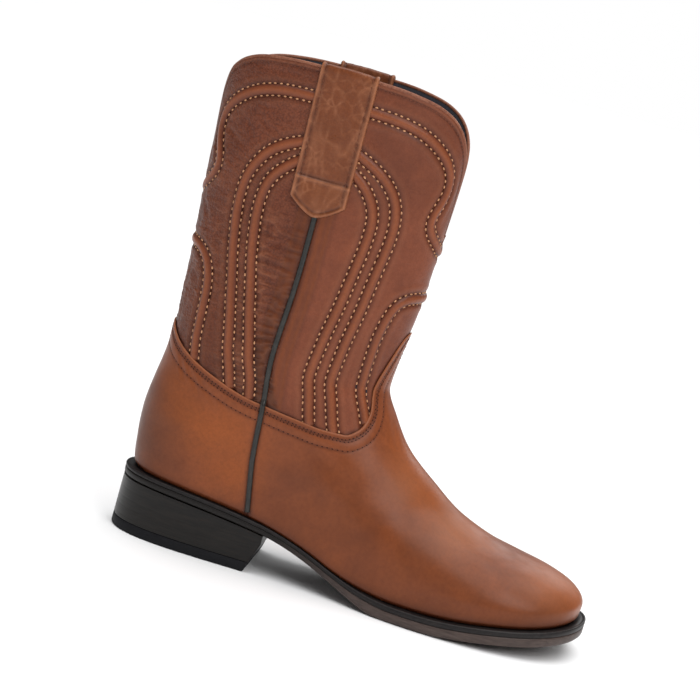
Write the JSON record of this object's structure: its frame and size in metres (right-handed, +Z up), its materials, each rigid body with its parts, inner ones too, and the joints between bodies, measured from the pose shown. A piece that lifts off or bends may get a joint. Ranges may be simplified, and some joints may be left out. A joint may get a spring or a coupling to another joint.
{
  "type": "roper boot",
  "caption": "Right leather roper boot with a hollow scalloped shaft, corded panels, pull straps, piped side seams, a welted sole and a stacked block heel.",
  "frame": {"origin": "middle of the sole's bounding box, on the floor", "axes": "+X to the toe, +Y to the inner side of the foot, +Z up"},
  "size_m": [0.2902, 0.1046, 0.3008],
  "materials": {
    "shaft_leather": "smooth brown leather, soft gloss",
    "strap_leather": "crackled tan-brown leather",
    "binding_leather": "dark brown rolled leather",
    "cord_leather": "brown leather over cord",
    "piping_leather": "black leather bead, soft gloss",
    "insole_board": "dark lining",
    "welt_leather": "dark brown welt",
    "sole_leather": "dark brown sole edge, satin",
    "heel_leather": "burnished near-black stacked leather",
    "heel_rubber": "black rubber, matt"
  },
  "bodies": {
    "root": {"upper": "shaft_leather", "collar_binding": "binding_leather", "pull_strap_lateral": "strap_leather", "pull_strap_medial": "strap_leather", "seam_piping_lateral": "piping_leather", "seam_piping_medial": "piping_leather", "insole": "insole_board", "welt": "welt_leather", "outsole": "sole_leather", "heel_stack": "heel_leather", "heel_cap": "heel_rubber", "cord_outer_front_lateral": "cord_leather", "cord_inner_front_lateral": "cord_leather", "cord_outer_back_lateral": "cord_leather", "cord_inner_back_lateral": "cord_leather", "cord_outer_front_medial": "cord_leather", "cord_inner_front_medial": "cord_leather", "cord_outer_back_medial": "cord_leather", "cord_inner_back_medial": "cord_leather", "cord_small_arch_front": "cord_leather", "cord_small_arch_back": "cord_leather", "cord_collar_front": "cord_leather", "cord_collar_back": "cord_leather"}
  },
  "joints": []
}
